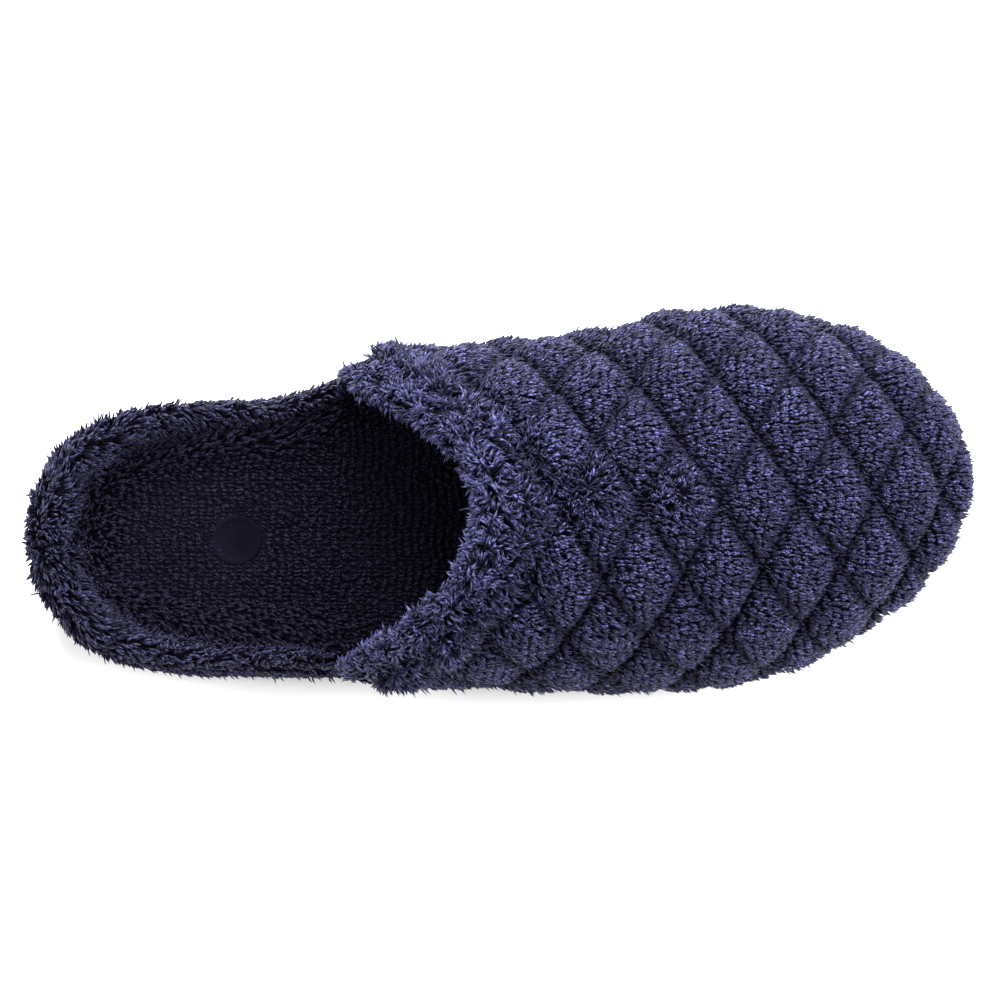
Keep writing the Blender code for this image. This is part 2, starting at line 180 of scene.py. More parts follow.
@dataclass(frozen=True)
class SlipperForm:
    """Driving sizes of the slipper and the curves that its pieces share.

    A station is an angle along the length, 0 at the heel and pi at the toe, and theta is an angle round
    the upper's section, 0 at its outer foot and pi at its inner one.
    """

    length: float = 270.0
    middle: tuple[float, float] = (1.55, 0.51)
    gap: float = 0.3
    outsole_thickness: float = 4.5
    platform_heel: float = 15.5
    platform_fore: float = 10.0
    wedge_end: float = 0.55
    wedge_length: float = 0.35
    insole_thickness: float = 5.0
    heel_lift: float = 2.0
    heel_lift_end: float = 0.055
    arch_lift: float = 2.0
    arch_span: tuple[float, float] = (0.31, 0.55)
    toe_spring: float = 8.0
    toe_spring_start: float = 0.76
    rim_rise_heel: float = 13.0
    rim_rise_side: float = 3.5
    rim_heel_span: tuple[float, float] = (0.03, 0.24)
    throat_end: float = -48.0
    throat_tip: float = -7.0
    throat_sweep_inner: float = 3.1
    throat_sweep_outer: float = 2.05
    band_width: float = 12.0
    ridge_share: float = 0.47
    fullness: float = 2.15
    foot_tuck_depth: float = 3.0
    foot_tuck_height: float = 12.0
    ridge_steps: int = 800
    girth_steps: int = 25

    def station(self, along: Array) -> Array:
        """Station of a share of the length: even stations crowd where the ends turn round."""
        return np.arccos(np.clip(1.0 - 2.0 * np.asarray(along, float), -1.0, 1.0))

    def along_of(self, x: Array) -> Array:
        """Share of the length from the heel."""
        return np.clip(np.asarray(x, float) / self.length + 0.5, 0.0, 1.0)

    def plan(self, angle: Array) -> tuple[Array, Array, Array]:
        """X of a station, and Y of its inner and outer side."""
        inner, outer = (smooth(self.station(PLAN[0]), side, angle) for side in PLAN[1:])
        return -0.5 * self.length * np.cos(angle), inner, outer

    def crown(self, angle: Array) -> Array:
        """Height of the upper's ridge at a station."""
        return smooth(self.station(CROWN[0]), CROWN[1], angle)

    def ridge(self, inner: Array, outer: Array) -> Array:
        """Y of the upper's ridge between both sides."""
        return outer + self.ridge_share * (inner - outer)

    def floor_height(self, x: Array) -> Array:
        """Underside of the outsole: flat under heel and forefoot, lifted at heel edge, arch and toe."""
        a = self.along_of(x)
        heel = self.heel_lift * np.clip(1.0 - a / self.heel_lift_end, 0.0, 1.0) ** 2
        start, end = self.arch_span
        arch = self.arch_lift * np.sin(PI * np.clip((a - start) / (end - start), 0.0, 1.0)) ** 2
        toe_share = np.clip((a - self.toe_spring_start) / (1.0 - self.toe_spring_start), 0.0, 1.0)
        return heel + arch + self.toe_spring * toe_share**2

    def platform_bottom(self, x: Array) -> Array:
        """Underside of the platform."""
        return self.floor_height(x) + self.outsole_thickness + self.gap

    def platform_top(self, x: Array) -> Array:
        """Top of the platform, which is thick under the heel and thinner from the ball forward."""
        wedge = ease((self.wedge_end - self.along_of(x)) / self.wedge_length)
        thickness = self.platform_fore + (self.platform_heel - self.platform_fore) * wedge
        return self.platform_bottom(x) + thickness

    def insole_top(self, x: Array) -> Array:
        """Top of the insole's edge."""
        return self.platform_top(x) + self.gap + self.insole_thickness

    def rim_share(self, x: Array) -> Array:
        """1 at the back of the heel, 0 along the sides."""
        start, end = self.rim_heel_span
        return ease((end - self.along_of(x)) / (end - start))

    def rim_top(self, x: Array) -> Array:
        """Top of the rim round the heel."""
        rise = self.rim_rise_heel - self.rim_rise_side
        return self.insole_top(x) + self.rim_rise_side + rise * self.rim_share(x)

    def inset_of(self, face: str, x: Array) -> Array:
        """Inset of a piece's face from the outline at X."""
        return smooth(INSETS.along, getattr(INSETS, face), self.along_of(x))

    def ring(self, face: str, further: float, base: Height, lift: float, stations: int) -> Array:
        """Closed ring inside a piece's face, from the heel along the inner side to the toe and back.

        Args:
            face: Column of the insets.
            further: Further inset.
            base: Height of a surface as a function of X.
            lift: Height of the ring above it.
            stations: Steps along one side.

        Returns:
            Points of the ring.
        """
        x, inner, outer = self.plan(np.linspace(0.0, PI, stations + 1))
        path = np.vstack([np.column_stack([x, inner]), np.column_stack([x, outer])[-2:0:-1]])
        normals = outward(np.roll(path, -1, axis=0) - np.roll(path, 1, axis=0))
        points = path - normals * (self.inset_of(face, path[:, 0]) + further)[:, None]
        return np.column_stack([points, base(points[:, 0]) + lift])

    def throat(self, theta: Array) -> Array:
        """X of the throat's edge at an angle round the section."""
        sweep = np.where(theta < PI / 2, self.throat_sweep_outer, self.throat_sweep_inner)
        return self.throat_end + (self.throat_tip - self.throat_end) * np.sin(theta) ** sweep

    def upper_skin(self, angle: Array, theta: Array) -> Array:
        """Smooth outer surface of the upper.

        Args:
            angle: Stations.
            theta: Angles round the section.

        Returns:
            Points.
        """
        x, inner, outer = self.plan(angle)
        foot, crown, ridge = self.platform_top(x) + self.gap, self.crown(angle), self.ridge(inner, outer)
        reach = np.where(theta < PI / 2, outer - ridge, inner - ridge)
        y = ridge + reach * np.abs(np.cos(theta)) ** (2.0 / self.fullness)
        z = foot + np.maximum(crown - foot, 0.0) * np.abs(np.sin(theta)) ** (2.0 / self.fullness)
        return np.stack(np.broadcast_arrays(x, y, z), axis=-1)

    def upper_normals(self, angle: Array, theta: Array) -> Array:
        """Outward normals of the upper's skin.

        Args:
            angle: Stations.
            theta: Angles round the section.

        Returns:
            Normals, level at the upper's feet and forward at the toe.
        """
        step = 1e-3
        low, high = np.maximum(theta - step, 0.0), np.minimum(theta + step, PI)
        across = self.upper_skin(angle, high) - self.upper_skin(angle, low)
        ahead, behind = np.minimum(angle + step, PI), angle - step
        along = self.upper_skin(ahead, theta) - self.upper_skin(behind, theta)
        normals = np.cross(along, across)
        normals[angle > PI - step] = (1.0, 0.0, 0.0)
        feet = (theta < step) | (theta > PI - step)
        normals[..., 2] = np.where(feet, 0.0, normals[..., 2])
        return unit(normals)

    def upper_grid(self, steps_long: int, steps_round: int, shift: float) -> tuple[Array, Array, Array]:
        """Grid that runs from the throat to the toe in even steps of cloth.

        Args:
            steps_long: Steps from the throat to the toe.
            steps_round: Steps round the section.
            shift: How far ahead of the throat's edge it starts.

        Returns:
            Stations, angles round the section, and lengths of cloth along the ridge from the middle.
        """
        angle = np.linspace(float(self.station(self.along_of(self.throat_end))), PI, self.ridge_steps)
        places = -0.5 * self.length * np.cos(angle)
        run = np.concatenate([[0.0], np.cumsum(np.hypot(np.diff(places), np.diff(self.crown(angle))))])
        run = run - np.interp(0.0, places, run)
        theta = np.linspace(0.0, PI, steps_round + 1)
        start = np.interp(self.throat(theta) + shift, places, run)
        cloth = start + np.linspace(0.0, 1.0, steps_long + 1)[:, None] * (run[-1] - start)
        x = np.interp(cloth, run, places)
        return self.station(self.along_of(x)), np.broadcast_to(theta, x.shape), cloth

    def girth(self, angle: Array, theta: Array) -> Array:
        """Length of cloth round the section from the ridge, towards the inner side.

        Args:
            angle: Stations of a grid.
            theta: Angles of a grid.

        Returns:
            Lengths, negative on the outer side.
        """
        share = np.linspace(0.0, 1.0, self.girth_steps).reshape(-1, 1, 1)
        path = self.upper_skin(angle[None], PI / 2 + share * (theta[None] - PI / 2))
        length = np.linalg.norm(np.diff(path, axis=0), axis=3).sum(axis=0)
        return np.where(theta < PI / 2, -length, length)

    def foot_tuck(self, points: Array) -> Array:
        """How far the skin draws in towards the platform at its foot."""
        above = points[..., 2] - (self.platform_top(points[..., 0]) + self.gap)
        return self.foot_tuck_depth * (1.0 - ease(above / self.foot_tuck_height))


FORM = SlipperForm()


class NodeNet:
    """A tree of nodes that is filled in node by node."""

    def __init__(self, tree: bpy.types.NodeTree) -> None:
        """Keeps the tree."""
        self.tree = tree

    def feed(self, node: Node, inputs: dict) -> Outputs:
        """Gives a node what its inputs take.

        Args:
            node: The node.
            inputs: A socket to link or a value to set, by the input's name or number.

        Returns:
            The node's outputs.
        """
        for label, value in inputs.items():
            if isinstance(value, Socket):
                self.tree.links.new(value, node.inputs[label])
            else:
                node.inputs[label].default_value = value
        return node.outputs

    def add(self, kind: str, inputs: dict | None = None, **settings: object) -> Outputs:
        """Adds a node.

        Args:
            kind: Its type.
            inputs: What its inputs take.
            settings: Its properties.

        Returns:
            Its outputs.
        """
        node = self.tree.nodes.new(kind)
        for name, value in settings.items():
            setattr(node, name, value)
        return self.feed(node, inputs or {})

    def math(self, operation: str, one: object, two: object, **settings: object) -> Socket:
        """Adds a sum of two sockets or numbers."""
        return self.add("ShaderNodeMath", {0: one, 1: two}, operation=operation, **settings)[0]

    def ramp(self, share: Socket, *stops: tuple[float, Colour]) -> Socket:
        """Adds a ramp between two colours.

        Args:
            share: What runs through the ramp.
            stops: Place and colour of its start and its end.

        Returns:
            The colour.
        """
        node = self.tree.nodes.new("ShaderNodeValToRGB")
        for stop, (place, colour) in zip(node.color_ramp.elements, stops):
            stop.position, stop.color = place, (*colour, 1.0)
        return self.feed(node, {"Fac": share})["Color"]


def shaded(name: str) -> tuple[Material, Node, NodeNet]:
    """New material, its shader and the net of its nodes."""
    material = bpy.data.materials.new(name)
    material.use_nodes = True
    return material, material.node_tree.nodes["Principled BSDF"], NodeNet(material.node_tree)


@dataclass(frozen=True)
class PileFinish:
    """Locks of plush, painted dark at the root as shade between the locks and paler at the tip, where the
    pale colour is partly a painted glint; some locks paler than others.
    """

    name: str
    # The root colour is painted shade near the cloth; the pale tip colour is partly the locks' own paler tone
    # and partly a painted glint.
    root: Colour
    dark_tip: Colour
    pale_glint_tip: Colour
    roughness: float = 0.42
    specular: float = 0.2
    sheen: float = 0.05
    sheen_roughness: float = 0.4
    gloss_tint: Colour = (0.6, 0.6, 1.0)
    dark_share: float = 0.1
    tip_share: float = 0.95
    streak: float = 2.4
    streak_repeats: tuple[float, float] = (42.0, 4.0)

    def material(self) -> Material:
        """Material whose colour follows the lock's shade, its fine streaks and the height on it."""
        material, shader, net = shaded(self.name)
        place = net.add("ShaderNodeUVMap", uv_map=PILE_MAP)["UV"]
        lock_shade, height, _ = net.add("ShaderNodeSeparateXYZ", {"Vector": place})
        repeats = (*self.streak_repeats, 1.0)
        stretched = net.add("ShaderNodeMapping", {"Vector": place, "Scale": repeats})["Vector"]
        even = {"Vector": stretched, "Scale": 1.0, "Detail": 0.0}
        streaks = net.add("ShaderNodeTexNoise", even, noise_dimensions="2D")["Fac"]
        spread = {"Value": streaks, "To Min": 1.0 - self.streak, "To Max": 1.0 + self.streak}
        factor = net.add("ShaderNodeMapRange", spread, clamp=False)["Result"]
        shade = net.math("MULTIPLY", lock_shade, factor, use_clamp=True)
        # Painted shade at the root up to dark_share of the height, and the pale tip's painted glint,
        # scattered by the streaks.
        start = (self.dark_share, self.root)
        dark = net.ramp(height, start, (self.tip_share, self.dark_tip))
        pale = net.ramp(height, start, (self.tip_share, self.pale_glint_tip))
        mixed = net.add("ShaderNodeMix", {"Factor": shade, "A": dark, "B": pale}, data_type="RGBA")
        tint = (*self.gloss_tint, 1.0)
        net.feed(shader, {
            "Base Color": mixed["Result"],
            "Roughness": self.roughness,
            "Specular IOR Level": self.specular,
            "Specular Tint": tint,
            "Sheen Weight": self.sheen,
            "Sheen Roughness": self.sheen_roughness,
            "Sheen Tint": tint,
        })
        return material


@dataclass(frozen=True)
class ClothFinish:
    """Ground cloth under the pile, a little uneven, with a fine knit. Rubber is made the same way."""

    name: str
    dark: Colour
    pale: Colour
    roughness: float = 0.9
    grain: float = 900.0
    patch: float = 60.0
    depth: float = 0.0006
    specular: float = 0.0
    detail: float = 6.0
    strength: float = 0.6
    stops: tuple[float, float] = (0.35, 0.65)

    def material(self) -> Material:
        """Material on object coordinates: patches of colour and a fine bump."""
        material, shader, net = shaded(self.name)
        place = net.add("ShaderNodeTexCoord")["Object"]
        patchy = {"Vector": place, "Scale": self.patch, "Detail": self.detail}
        patch = net.add("ShaderNodeTexNoise", patchy)["Fac"]
        grain = net.add("ShaderNodeTexNoise", {"Vector": place, "Scale": self.grain})["Fac"]
        bump = net.add("ShaderNodeBump", {"Height": grain, "Strength": self.strength, "Distance": self.depth})
        net.feed(shader, {
            "Base Color": net.ramp(patch, *zip(self.stops, (self.dark, self.pale))),
            "Normal": bump["Normal"],
            "Roughness": self.roughness,
            "Specular IOR Level": self.specular,
        })
        return material


# The ground cloth under the pile is darker than its own navy: painted shade for the gaps between locks and
# the stitch grooves.
NAVY_SHADED_GROUND = ClothFinish("navy_shaded_ground_cloth", (0.0018, 0.0015, 0.0032), (0.0032, 0.0027, 0.006))
NAVY_SIDE = ClothFinish("navy_side_cloth", (0.005, 0.0046, 0.0125), (0.008, 0.0075, 0.020))
NAVY_LINING = ClothFinish("navy_lining_cloth", (0.003, 0.0025, 0.0055), (0.005, 0.0042, 0.009), grain=1400.0)
NAVY_RUBBER = ClothFinish(
    "navy_sole_rubber", (0.010, 0.010, 0.016), (0.016, 0.016, 0.025), 0.55, 1800.0, 25.0, 0.0001, 0.3
)
# Each plush's root colour is painted shade, and its pale tip is partly a painted glint.
VAMP_PLUSH = PileFinish(
    "vamp_plush", (0.003, 0.0025, 0.0064), (0.005, 0.0044, 0.0124), (0.152, 0.154, 0.410), dark_share=0.2
)
BAND_PLUSH = PileFinish(
    "band_plush", (0.0025, 0.0022, 0.007), (0.010, 0.0095, 0.030), (0.100, 0.102, 0.250), dark_share=0.3
)
RIM_PLUSH = PileFinish(
    "rim_plush", (0.002, 0.0017, 0.0048), (0.005, 0.0045, 0.013), (0.060, 0.057, 0.134), dark_share=0.3
)
# The footbed plush is partly darker of its own and partly painted shade of the inside of the slipper.
FOOTBED_SHADED_PLUSH = PileFinish(
    "footbed_plush", (0.001, 0.0008, 0.0022), (0.0042, 0.0034, 0.008), (0.0172, 0.0147, 0.0322),
    roughness=0.5, specular=0.06, sheen=0.02,
)


@dataclass(frozen=True)
class Pile:
    """How the locks of a face stand.

    Density is in locks to the square millimetre, and knit is the spacing of the tufts along and across.
    Gather draws the locks of a tuft together, lean is how far they follow the nap, and bend how far a tip
    curls over in widths of the lock. Clump draws the tips of a tuft together. Strays are shares of the
    lock's length, tone is how much the tufts differ in shade, skew makes pale locks rarer, and flyaway is
    the share of long thin locks. Stagger shifts the rows of tufts, spread is how much lengths and widths
    vary, least rise keeps a lock off the cloth, and root depth sinks its root.
    """

    density: float
    length: float
    width: float = 0.62
    knit: tuple[float, float] = (2.5, 1.1)
    gather: float = 0.4
    lean: float = 0.9
    bend: float = 1.2
    tuft_stray: float = 0.16
    lock_stray: float = 0.14
    swirl: float = 0.2
    swirl_size: float = 9.0
    segments: int = 2
    clump: float = 0.0
    tone: float = 0.13
    skew: float = 1.0
    flyaway: float = 0.05
    shade: float = 0.42
    lock_tone: float = 0.16
    stagger: float = 0.22
    spread: float = 0.2
    stray_gain: float = 0.35
    fly_longer: float = 0.45
    fly_thinner: float = 0.4
    least_rise: float = 0.3
    root_depth: float = 0.25


@dataclass
class PileBed:
    """Roots of a pile, with what each lock needs."""

    roots: Array
    direction: Array
    nap: Array
    length: Array
    thick: Array
    shade: Array

    def mesh(self, name: str) -> bpy.types.Mesh:
        """Mesh of bare points that carries what each lock needs as attributes."""
        mesh = bare_mesh(name, self.roots, [])
        for label, values in vars(self).items():
            if label != "roots":
                vector = values.ndim == 2
                layer = mesh.attributes.new(label, "FLOAT_VECTOR" if vector else "FLOAT", "POINT")
                layer.data.foreach_set("vector" if vector else "value", values.ravel())
        return mesh

    def part(self, chosen: Array) -> "PileBed":
        """The chosen locks alone."""
        return PileBed(**{name: values[chosen] for name, values in vars(self).items()})


@dataclass
class ClothFace:
    """One face of a cloth piece as a grid of points, rows along the slipper and columns across it.

    The other grids say, point by point, where the nap lies and how long, thick, close, stray and pale the
    pile is against its recipe. Run and around are lengths of cloth in both directions, for the knit.
    """

    points: Array
    flip: bool = False
    nap: Array | Place = (1.0, 0.0, -0.1)
    long: Array | float = 1.0
    thick: Array | float = 1.0
    close: Array | float = 1.0
    stray: Array | float = 1.0
    pale: Array | float = 0.0
    run: Array | None = None
    around: Array | None = None
    normals: Array = field(init=False)

    def __post_init__(self) -> None:
        """Works out the normals, spreads single values over the grid and measures the cloth."""
        along, across = np.gradient(self.points, axis=0), np.gradient(self.points, axis=1)
        self.normals = unit(np.cross(along, across)) * (-1.0 if self.flip else 1.0)
        self.nap = np.broadcast_to(self.nap, self.points.shape)
        for name in ("long", "thick", "close", "stray", "pale"):
            setattr(self, name, np.broadcast_to(getattr(self, name), self.points.shape[:2]))
        self.run = self.lengths(0) if self.run is None else self.run
        self.around = self.lengths(1) if self.around is None else self.around

    def lengths(self, axis: int) -> Array:
        """Length of cloth along the grid's lines of one direction."""
        steps = np.linalg.norm(np.diff(self.points, axis=axis), axis=2)
        return np.insert(np.cumsum(steps, axis=axis), 0, 0.0, axis=axis)

    def at(self, grid: Array, row: Array, col: Array) -> Array:
        """Reads a grid between its points.

        Args:
            grid: Values at the points.
            row: Rows, with fractions.
            col: Columns, with fractions.

        Returns:
            The values there.
        """
        i, j = (np.clip(at.astype(int), 0, size - 2) for at, size in zip((row, col), grid.shape))
        s, t = row - i, col - j
        if grid.ndim == 3:
            s, t = s[:, None], t[:, None]
        near = grid[i, j] * (1 - t) + grid[i, j + 1] * t
        far = grid[i + 1, j] * (1 - t) + grid[i + 1, j + 1] * t
        return near * (1 - s) + far * s

    def roots(self, density: float, rng: np.random.Generator) -> tuple[Array, Array]:
        """Rows and columns of roots spread evenly over the face.

        Args:
            density: Locks to the square millimetre.
            rng: Seeded source.

        Returns:
            Rows and columns, with fractions.
        """
        along, across = np.diff(self.points, axis=0)[:, :-1], np.diff(self.points, axis=1)[:-1]
        area = np.linalg.norm(np.cross(along, across), axis=2)
        wanted = area * density * self.close[:-1, :-1]
        count = np.floor(wanted + rng.random(area.shape)).astype(int)
        cell = np.repeat(np.arange(area.size), count.ravel())
        row = cell // area.shape[1] + rng.random(len(cell))
        col = cell % area.shape[1] + rng.random(len(cell))
        return row, col

    def gathered(self, row: Array, col: Array, pile: Pile) -> tuple[Array, Array, Array, Array, Array]:
        """Draws roots towards the middles of their tufts.

        Args:
            row: Rows, with fractions.
            col: Columns, with fractions.
            pile: The recipe.

        Returns:
            New rows and columns, the tufts' numbers along and across, and what is left of the way to the
            middle of the tuft.
        """
        run, around = self.at(self.run, row, col), self.at(self.around, row, col)
        across = np.floor(around / pile.knit[1])
        run = run + pile.knit[0] * pile.stagger * np.sin(STAGGER_STEP * across)
        tufts = (np.floor(run / pile.knit[0]), across)
        spot, way = [row, col], np.zeros((len(row), 3))
        for axis, lengths, place in ((0, self.run, run), (1, self.around, around)):
            slope = self.at(np.gradient(lengths, axis=axis), *spot)
            slope = np.where(np.abs(slope) < FLAT, STILL, slope)
            off = (tufts[axis] + 0.5) * pile.knit[axis] - place
            line = unit(self.at(np.gradient(self.points, axis=axis), *spot))
            way += line * ((1.0 - pile.gather) * off * np.sign(slope))[:, None]
            moved = spot[axis] + np.clip(pile.gather * off / slope, -3.0, 3.0)
            spot[axis] = np.clip(moved, 0.0, self.points.shape[axis] - 1.001)
        return *spot, *(tuft.astype(int) for tuft in tufts), way

    def sow(self, pile: Pile, seed: int) -> PileBed:
        """Locks over the face.

        Args:
            pile: The recipe.
            seed: Fixes what is random.

        Returns:
            The bed.
        """
        rng = np.random.default_rng(seed)
        noise.seed_set(seed)
        row, col, one, two, way = self.gathered(*self.roots(pile.density, rng), pile)
        tufts = rng.normal(size=(np.ptp(one) + 1, np.ptp(two) + 1, 4))
        tuft = tufts[one - one.min(), two - two.min()]
        place, normal = self.at(self.points, row, col), unit(self.at(self.normals, row, col))
        stray = self.at(self.stray, row, col)[:, None]
        swirl = np.array([noise.noise_vector(Vector(p / pile.swirl_size)) for p in place])
        wander = tuft[:, :3] * pile.tuft_stray + rng.normal(size=place.shape) * pile.lock_stray
        wander = (wander + swirl * pile.swirl) * stray
        nap = self.at(self.nap, row, col)
        direction = unit(normal + pile.lean * nap + wander + pile.clump * way / pile.length)
        rise = np.sum(direction * normal, axis=1, keepdims=True)
        direction = unit(direction + normal * np.maximum(pile.least_rise - rise, 0.0))
        long = self.at(self.long, row, col)
        length = pile.length * long * (1.0 + pile.spread * rng.uniform(-1.0, 1.0, len(row)))
        length = length * (1.0 + pile.stray_gain * np.clip(stray[:, 0] - 1.0, 0.0, 1.5))
        shade = pile.shade + pile.tone * tuft[:, 3] + pile.lock_tone * rng.normal(size=len(row))
        shade = np.clip(shade + self.at(self.pale, row, col), 0.0, 1.0) ** pile.skew
        thick = self.at(self.thick, row, col) * rng.uniform(1.0 - pile.spread, 1.0 + pile.spread, len(row))
        flyaway = rng.random(len(row)) < pile.flyaway
        length, thick = length * (1.0 + pile.fly_longer * flyaway), thick * (1.0 - pile.fly_thinner * flyaway)
        return PileBed(place - normal * pile.root_depth, direction, nap + wander, length * MM, thick, shade)


class PileTree:
    """Geometry Nodes tree that stands a tapered, bent lock on each point of a bed.

    A lock is as wide at its root as foot says, swells from there, and is drawn up by a power.
    """

    INPUTS = {"Bed": "Geometry", "Width": "Float", "Bend": "Float", "Segments": "Int", "Plush": "Material"}
    FOOT, SWELL, DRAW = 0.62, 3.0, 0.56

    def __init__(self) -> None:
        """Builds the tree with its named inputs."""
        self.tree = bpy.data.node_groups.new("pile_locks", "GeometryNodeTree")
        self.net = NodeNet(self.tree)
        self.sockets: dict[str, str] = {}
        interface = self.tree.interface
        for label, kind in self.INPUTS.items():
            made = interface.new_socket(label, in_out="INPUT", socket_type=f"NodeSocket{kind}")
            self.sockets[label] = made.identifier
        interface.new_socket("Pile", in_out="OUTPUT", socket_type="NodeSocketGeometry")
        self.given = self.net.add("NodeGroupInput")
        self.wire()

    def named(self, label: str, kind: str) -> Socket:
        """Reads an attribute by name."""
        return self.net.add("GeometryNodeInputNamedAttribute", {"Name": label}, data_type=kind)["Attribute"]

    def store(self, carried: dict, kind: str, domain: str) -> Socket:
        """Stores an attribute on a geometry and gives it back."""
        stored = self.net.add("GeometryNodeStoreNamedAttribute", carried, data_type=kind, domain=domain)
        return stored["Geometry"]

    def vector(self, *parts: object) -> Socket:
        """Joins three sockets or numbers to a vector."""
        return self.net.add("ShaderNodeCombineXYZ", dict(enumerate(parts)))["Vector"]

    def lock(self) -> Socket:
        """One lock, 1 wide and 1 high: fullest above its middle, with its tip bent over."""
        net, sum_of = self.net, self.net.math
        sizes = {"Vertices": 3, "Radius Top": 0.0, "Radius Bottom": 0.5, "Depth": 1.0}
        sizes["Side Segments"] = self.given["Segments"]
        cone = net.add("GeometryNodeMeshCone", sizes, fill_type="NGON")["Mesh"]
        place = net.add("GeometryNodeInputPosition")["Position"]
        mesh = self.store({"Geometry": cone, "Name": "lock", "Value": place}, "FLOAT_VECTOR", "POINT")
        x, y, z = net.add("ShaderNodeSeparateXYZ", {"Vector": place})
        full = sum_of("ADD", self.FOOT, sum_of("MULTIPLY", self.SWELL, z))
        curl = sum_of("MULTIPLY", self.given["Bend"], sum_of("MULTIPLY", z, z))
        across, aside = sum_of("ADD", sum_of("MULTIPLY", x, full), curl), sum_of("MULTIPLY", y, full)
        shaped = self.vector(across, aside, sum_of("POWER", z, self.DRAW))
        return net.add("GeometryNodeSetPosition", {"Geometry": mesh, "Position": shaped})["Geometry"]

    def spot(self) -> Socket:
        """Place on the map, inside its edges: the lock's shade and the height on it, each a little aslant."""
        sum_of = self.net.math
        x, y, z = self.net.add("ShaderNodeSeparateXYZ", {"Vector": self.named("lock", "FLOAT_VECTOR")})
        aside = sum_of("ADD", sum_of("MULTIPLY", x, 0.05), sum_of("MULTIPLY", y, 0.025))
        shade = sum_of("ADD", 0.05, sum_of("MULTIPLY", self.named("shade", "FLOAT"), 0.9))
        upright = sum_of("ADD", 0.04, sum_of("MULTIPLY", z, 0.92))
        height = sum_of("ADD", upright, sum_of("MULTIPLY", y, 0.04))
        return self.vector(sum_of("ADD", shade, aside), height, 0.0)

    def wire(self) -> None:
        """Stands the locks on the bed, makes them real and gives them their map and material."""
        net, given = self.net, self.given
        axes = {0: self.named("direction", "FLOAT_VECTOR"), 1: self.named("nap", "FLOAT_VECTOR")}
        turn = net.add("FunctionNodeAxesToRotation", axes, primary_axis="Z", secondary_axis="X")["Rotation"]
        width = net.math("MULTIPLY", given["Width"], self.named("thick", "FLOAT"))
        size = self.vector(width, width, self.named("length", "FLOAT"))
        stood = {"Points": given["Bed"], "Instance": self.lock(), "Rotation": turn, "Scale": size}
        locks = net.add("GeometryNodeInstanceOnPoints", stood)["Instances"]
        real = net.add("GeometryNodeRealizeInstances", {"Geometry": locks})["Geometry"]
        mapped = self.store({"Geometry": real, "Name": PILE_MAP, "Value": self.spot()}, "FLOAT2", "CORNER")
        soft = net.add("GeometryNodeSetShadeSmooth", {"Geometry": mapped})["Geometry"]
        paint = net.add("GeometryNodeSetMaterial", {"Geometry": soft, "Material": given["Plush"]})
        net.add("NodeGroupOutput", {"Pile": paint["Geometry"]})

    def grow(self, name: str, bed: PileBed, pile: Pile, plush: Material) -> Object:
        """Grows a pile and keeps it as a plain mesh.

        Args:
            name: Name of the piece.
            bed: Roots of the locks.
            pile: The recipe.
            plush: Material of the locks.

        Returns:
            The piece.
        """
        points = hung(f"{name}_bed", bed.mesh(f"{name}_bed"))
        modifier = points.modifiers.new("locks", "NODES")
        modifier.node_group = self.tree
        sizes = {"Width": pile.width * MM, "Bend": pile.bend, "Segments": pile.segments, "Plush": plush}
        for label, value in sizes.items():
            modifier[self.sockets[label]] = value
        graph = bpy.context.evaluated_depsgraph_get()
        mesh = bpy.data.meshes.new_from_object(
            points.evaluated_get(graph), preserve_all_data_layers=True, depsgraph=graph
        )
        for label in ("lock", *vars(bed)):
            if label in mesh.attributes:
                mesh.attributes.remove(mesh.attributes[label])
        bare = points.data
        bpy.data.objects.remove(points)
        bpy.data.meshes.remove(bare)
        mesh.name = name
        return hung(name, mesh)


def hung(name: str, data: bpy.types.ID) -> Object:
    """New object in the scene."""
    made = bpy.data.objects.new(name, data)
    bpy.context.scene.collection.objects.link(made)
    return made


def bare_mesh(name: str, points: Array, faces: list) -> bpy.types.Mesh:
    """Mesh from points in millimetres, moved to the frame's own middle."""
    mesh = bpy.data.meshes.new(name)
    mesh.from_pydata(((points + (*FORM.middle, 0.0)) * MM).tolist(), [], faces)
    return mesh


def cloth_object(name: str, points: Array, faces: list, finish: ClothFinish) -> Object:
    """Smooth closed piece.

    Args:
        name: Name of the piece.
        points: Its points in millimetres.
        faces: Its faces, as numbers of points, turned outwards.
        finish: Its finish.

    Returns:
        The piece.
    """
    mesh = bare_mesh(name, points, faces)
    mesh.shade_smooth()
    mesh.materials.append(finish.material())
    return hung(name, mesh)


def capped_tube(name: str, loops: Array, finish: ClothFinish, strips: bool) -> Object:
    """Closed piece through loops that follow each other, with a cap at both ends.

    Args:
        name: Name of the piece.
        loops: Rows of points, one row for each loop.
        finish: Its finish.
        strips: Whether strips from side to side make a cap, as on a slab, or one face.

    Returns:
        The piece.
    """
    rows, count = loops.shape[:2]
    faces = []
    for one in range(0, (rows - 1) * count, count):
        two = one + count
        for j in range(count):
            k = (j + 1) % count
            faces.append((two + j, two + k, one + k, one + j))
    caps = [(i, i + 1, count - i - 1, (count - i) % count) for i in range(count // 2)]
    for base, turn in ((0, 1), ((rows - 1) * count, -1)):
        for cap in caps if strips else [range(count)]:
            faces.append(tuple(dict.fromkeys(base + i for i in cap))[::turn])
    return cloth_object(name, loops.reshape(-1, 3), faces, finish)


def seat(piece: Object, node: str | None = None) -> None:
    """Args:
        piece: The piece.
        node: The solid that it stands for, if any.
    """
    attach(piece, BODY)
    if node:
        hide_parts(node)
    triangles = sum(len(p.vertices) - 2 for p in piece.data.polygons)
    LOG.info("%s: %d triangles", piece.name, triangles)


@dataclass
class PlushPart:
    """A soft piece of the slipper: cloth in place of its solid, and pile on the cloth."""

    locks: PileTree
    pile: Pile

    def plush(self, name: str, bed: PileBed, material: Material, slot: str) -> None:
        """Grows a pile and seats it."""
        seat(self.locks.grow(name, bed, self.pile, material))


